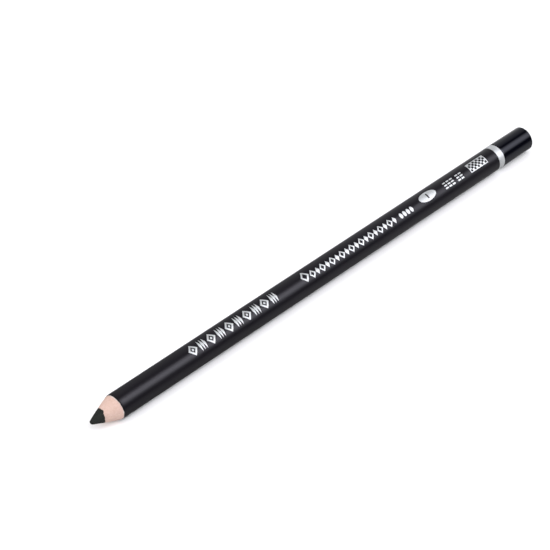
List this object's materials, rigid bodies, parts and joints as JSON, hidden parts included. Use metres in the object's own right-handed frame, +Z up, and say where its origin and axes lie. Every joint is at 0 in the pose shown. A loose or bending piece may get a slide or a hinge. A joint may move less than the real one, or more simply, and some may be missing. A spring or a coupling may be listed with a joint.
{
  "type": "wood-cased charcoal pencil",
  "caption": "Round black-lacquered pencil with a thick charcoal core, sharpened at one end and dipped in gloss lacquer at the other.",
  "frame": {"origin": "under the middle of the pencil, on the surface that it lies on", "axes": "+X along the pencil from the sharpened point to the dipped butt end, +Z up, -Y the side from which the foil marks read"},
  "size_m": [0.175, 0.0076, 0.0076],
  "materials": {
    "charcoal": "dull, dusty black",
    "casing_wood": "bare, fine straight grain, sanded",
    "glue": "thin dried film",
    "primer": "matte pale grey undercoat",
    "satin_lacquer": "satin black lacquer",
    "gloss_dip": "high gloss black dip lacquer",
    "silver_foil": "hot-stamped silver foil, slightly grainy"
  },
  "bodies": {
    "root": {"charcoal_core": "charcoal", "upper_slat": "casing_wood", "lower_slat": "casing_wood", "glue_film": "glue", "primer_coat": "primer", "lacquer_coat": "satin_lacquer", "end_dip": "gloss_dip", "silver_ring": "silver_foil", "grade_badge": "silver_foil"}
  },
  "joints": []
}
